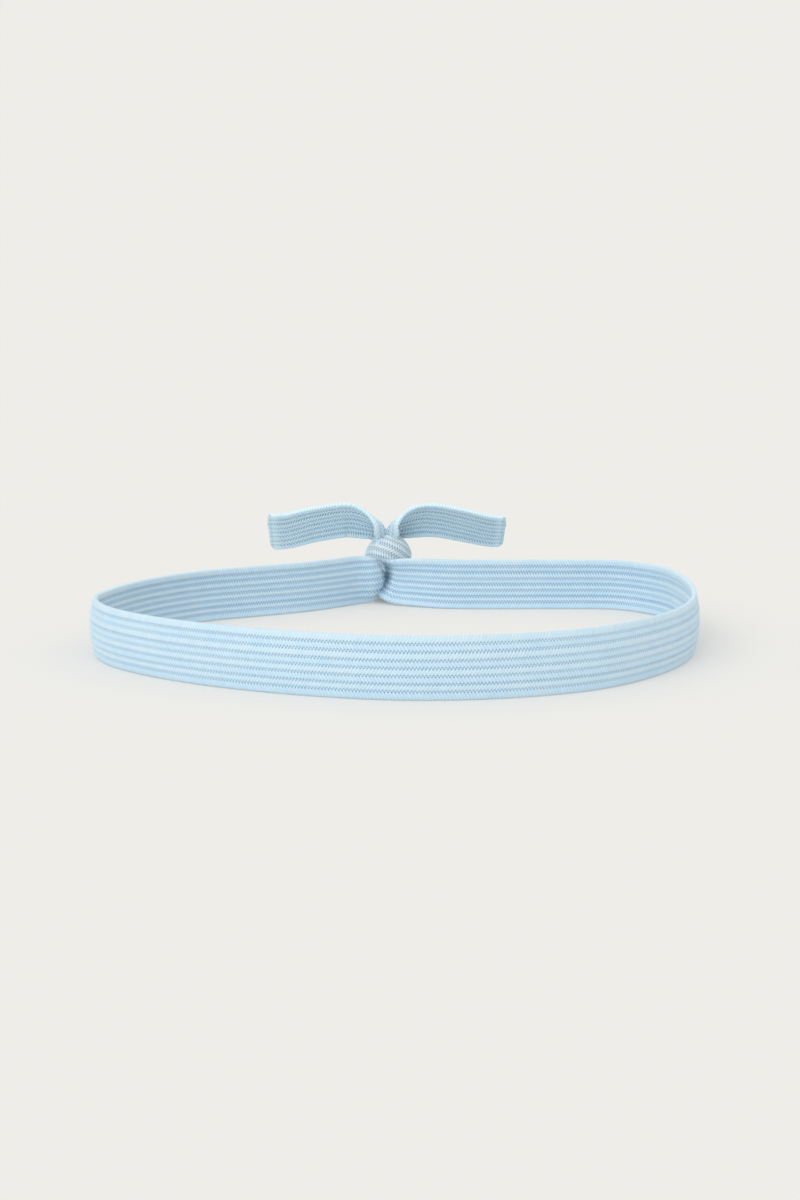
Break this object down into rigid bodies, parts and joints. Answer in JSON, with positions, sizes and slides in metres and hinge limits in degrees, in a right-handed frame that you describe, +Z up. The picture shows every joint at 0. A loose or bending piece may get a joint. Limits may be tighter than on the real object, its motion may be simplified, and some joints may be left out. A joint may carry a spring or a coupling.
{
  "type": "sports headband",
  "caption": "Light blue ribbed elastic sports headband, a flat strap tied into a ring by an overhand knot with its tails standing out over the back.",
  "frame": {"origin": "on the surface that the headband stands on, below the middle of its box", "axes": "+Z up, +Y from the brow side to the knot at the back, +X to the wearer's left when the brow side faces away from the wearer's face, that is to the right of the picture"},
  "size_m": [0.1738, 0.1844, 0.0335],
  "materials": {
    "braid": "matte braided polyester yarn in eight soft ribs",
    "rubber_thread": "satin natural rubber",
    "melted_end": "smooth melted yarn"
  },
  "bodies": {
    "band": {"loop_cover": "braid", "loop_core_1": "rubber_thread", "loop_core_2": "rubber_thread", "loop_core_3": "rubber_thread", "loop_core_4": "rubber_thread", "loop_core_5": "rubber_thread", "loop_core_6": "rubber_thread", "loop_core_7": "rubber_thread", "loop_core_8": "rubber_thread", "knot_left_strand": "braid", "knot_right_strand": "braid", "knot_wrap": "braid"},
    "left_tail": {"left_tail_cover": "braid", "left_tail_core_1": "rubber_thread", "left_tail_core_2": "rubber_thread", "left_tail_core_3": "rubber_thread", "left_tail_core_4": "rubber_thread", "left_tail_core_5": "rubber_thread", "left_tail_core_6": "rubber_thread", "left_tail_core_7": "rubber_thread", "left_tail_core_8": "rubber_thread", "left_tip_seal": "melted_end"},
    "right_tail": {"right_tail_cover": "braid", "right_tail_core_1": "rubber_thread", "right_tail_core_2": "rubber_thread", "right_tail_core_3": "rubber_thread", "right_tail_core_4": "rubber_thread", "right_tail_core_5": "rubber_thread", "right_tail_core_6": "rubber_thread", "right_tail_core_7": "rubber_thread", "right_tail_core_8": "rubber_thread", "right_tip_seal": "melted_end"}
  },
  "joints": [
    {"name": "left_tail_lift", "type": "hinge", "parent": "band", "child": "left_tail", "pos_m": [-0.00815, 0.08385, 0.0224], "axis": [-0.0533, 0.9963, -0.0671], "range_deg": [-20, 35], "stiffness_Nm_per_rad": 0.01},
    {"name": "right_tail_lift", "type": "hinge", "parent": "band", "child": "right_tail", "pos_m": [-0.00135, 0.08385, 0.0224], "axis": [-0.0643, -0.9948, 0.0785], "range_deg": [-20, 35], "stiffness_Nm_per_rad": 0.01}
  ]
}
